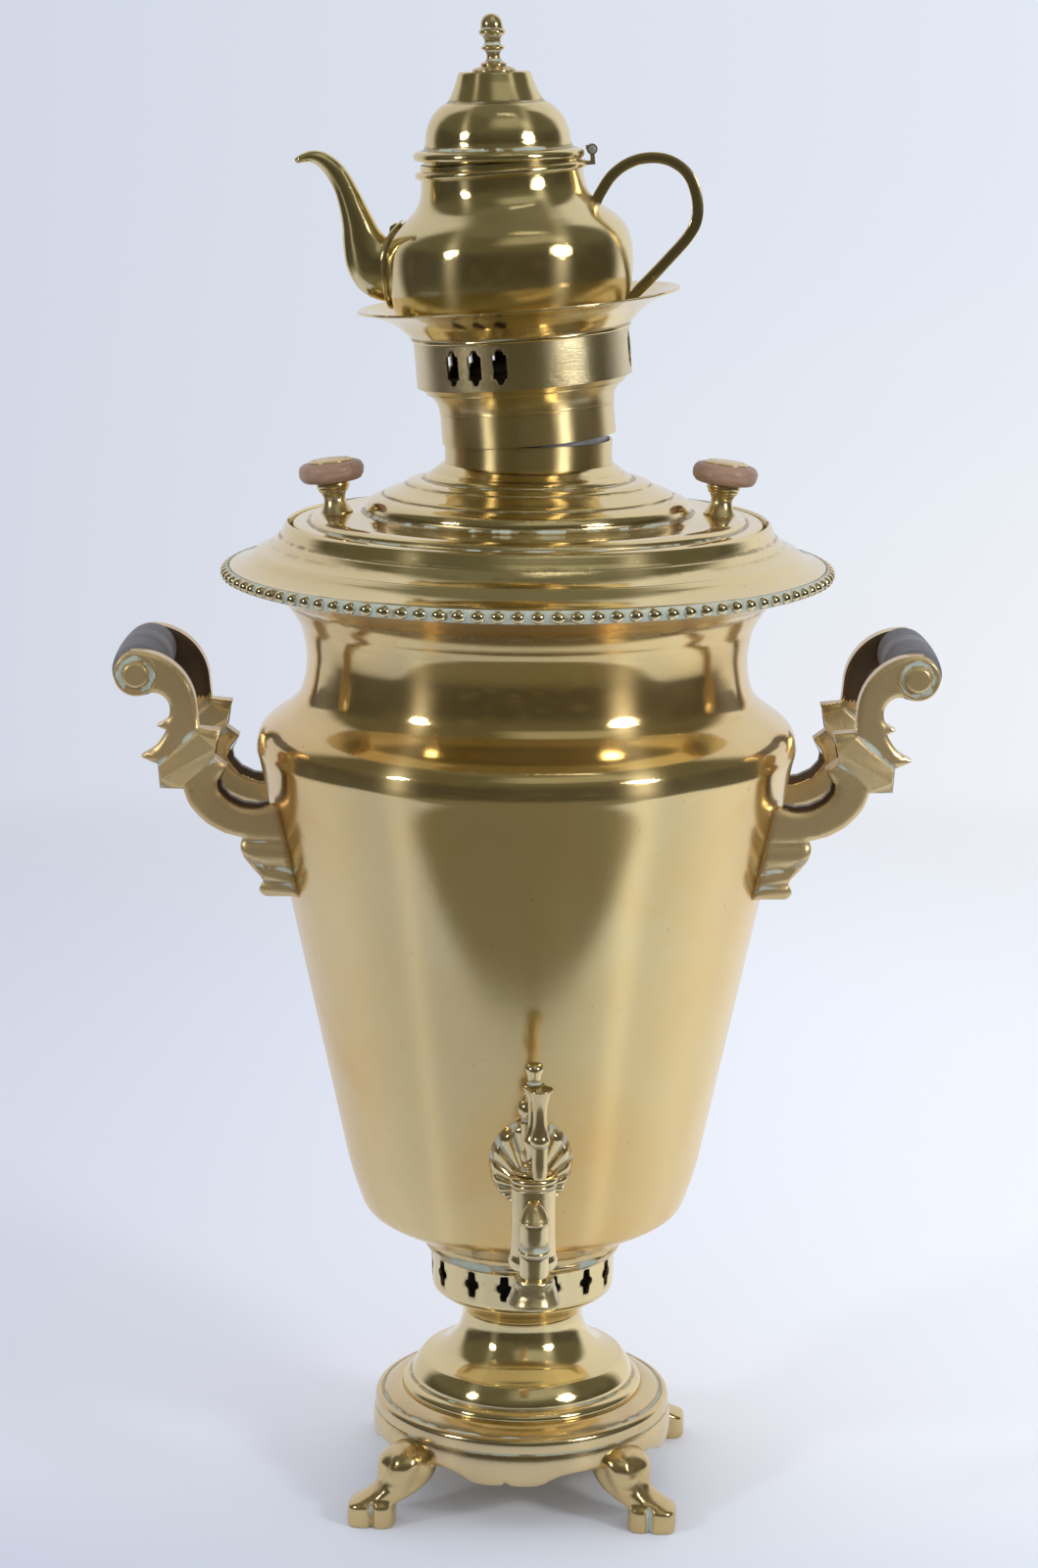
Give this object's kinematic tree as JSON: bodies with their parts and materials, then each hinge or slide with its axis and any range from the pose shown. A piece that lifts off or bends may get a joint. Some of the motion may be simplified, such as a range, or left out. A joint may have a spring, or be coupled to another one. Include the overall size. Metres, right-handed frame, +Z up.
{
  "type": "samovar",
  "caption": "Charcoal samovar with a footed base, tapering urn, front tap, two side handles, lifting lid, and a crown that carries a small teapot.",
  "frame": {"origin": "on the ground, under the urn's axis", "axes": "+Z up along the urn's axis, -Y towards the tap, +X to the right of a viewer who faces the tap"},
  "size_m": [0.3636, 0.2689, 0.6615],
  "materials": {
    "polished_brass": "polished, thin tarnish in the grooves",
    "cast_brass": "cast, filed and polished",
    "tinned_steel": "dull grey, tinned and soldered",
    "iron": "sooty",
    "brown_wood": "varnished",
    "black_wood": "dull, black stain worn grey"
  },
  "bodies": {
    "urn": {"foot_front_left": "cast_brass", "foot_front_right": "cast_brass", "foot_rear_left": "cast_brass", "foot_rear_right": "cast_brass", "base_apron": "cast_brass", "base_flange": "cast_brass", "base_bell": "polished_brass", "vent_collar": "polished_brass", "grate": "iron", "seat_ring": "tinned_steel", "fire_tube": "tinned_steel", "urn_body": "polished_brass", "urn_shoulder": "polished_brass", "urn_neck": "polished_brass", "urn_flare": "polished_brass", "bead_ring": "polished_brass", "brim_ring": "polished_brass", "tap_escutcheon": "cast_brass", "tap_barrel": "cast_brass", "tap_spout": "cast_brass", "tap_nozzle": "cast_brass", "bracket_front_left": "cast_brass", "bracket_rear_left": "cast_brass", "bracket_front_right": "cast_brass", "bracket_rear_right": "cast_brass", "handle_rod_left": "polished_brass", "handle_rod_right": "polished_brass"},
    "tap_key": {"tap_plug": "cast_brass", "tap_key": "cast_brass"},
    "grip_left": {"grip_left": "black_wood"},
    "grip_right": {"grip_right": "black_wood"},
    "lid": {"lid_dome": "polished_brass", "lid_collar": "polished_brass", "knob_stem_left": "cast_brass", "knob_stem_right": "cast_brass", "knob_button_left": "brown_wood", "knob_button_right": "brown_wood", "knob_cap_left": "polished_brass", "knob_cap_right": "polished_brass"},
    "crown": {"crown_ring": "polished_brass", "crown_gallery": "polished_brass", "crown_ledge": "polished_brass", "crown_dish": "polished_brass"},
    "teapot": {"teapot_body": "polished_brass", "teapot_neck_ring": "polished_brass", "teapot_spout": "polished_brass", "teapot_spout_flange": "polished_brass", "teapot_handle": "cast_brass", "teapot_hinge_leaf": "cast_brass", "teapot_hinge_pin": "cast_brass"},
    "teapot_lid": {"teapot_lid": "polished_brass", "teapot_lid_leaf": "cast_brass", "teapot_rosette": "cast_brass", "teapot_finial": "cast_brass"}
  },
  "joints": [
    {"name": "tap_turn", "type": "hinge", "parent": "urn", "child": "tap_key", "pos_m": [0.0041, -0.11192, 0.1784], "axis": [0, 0, 1], "continuous": true},
    {"name": "left_grip_spin", "type": "hinge", "parent": "urn", "child": "grip_left", "pos_m": [-0.1678, 0, 0.381], "axis": [0, 1, 0], "continuous": true},
    {"name": "right_grip_spin", "type": "hinge", "parent": "urn", "child": "grip_right", "pos_m": [0.1678, 0, 0.381], "axis": [0, 1, 0], "continuous": true},
    {"name": "lid_lift", "type": "slide", "parent": "urn", "child": "lid", "axis": [0, 0, 1], "range_m": [0, 0.09]},
    {"name": "crown_lift", "type": "slide", "parent": "lid", "child": "crown", "axis": [0, 0, 1], "range_m": [0, 0.04]},
    {"name": "teapot_lift", "type": "slide", "parent": "crown", "child": "teapot", "axis": [0, 0, 1], "range_m": [0, 0.06]},
    {"name": "teapot_lid_swing", "type": "hinge", "parent": "teapot", "child": "teapot_lid", "pos_m": [0.02612, 0, 0.60308], "axis": [0, 1, 0], "range_deg": [-3, 100]}
  ]
}
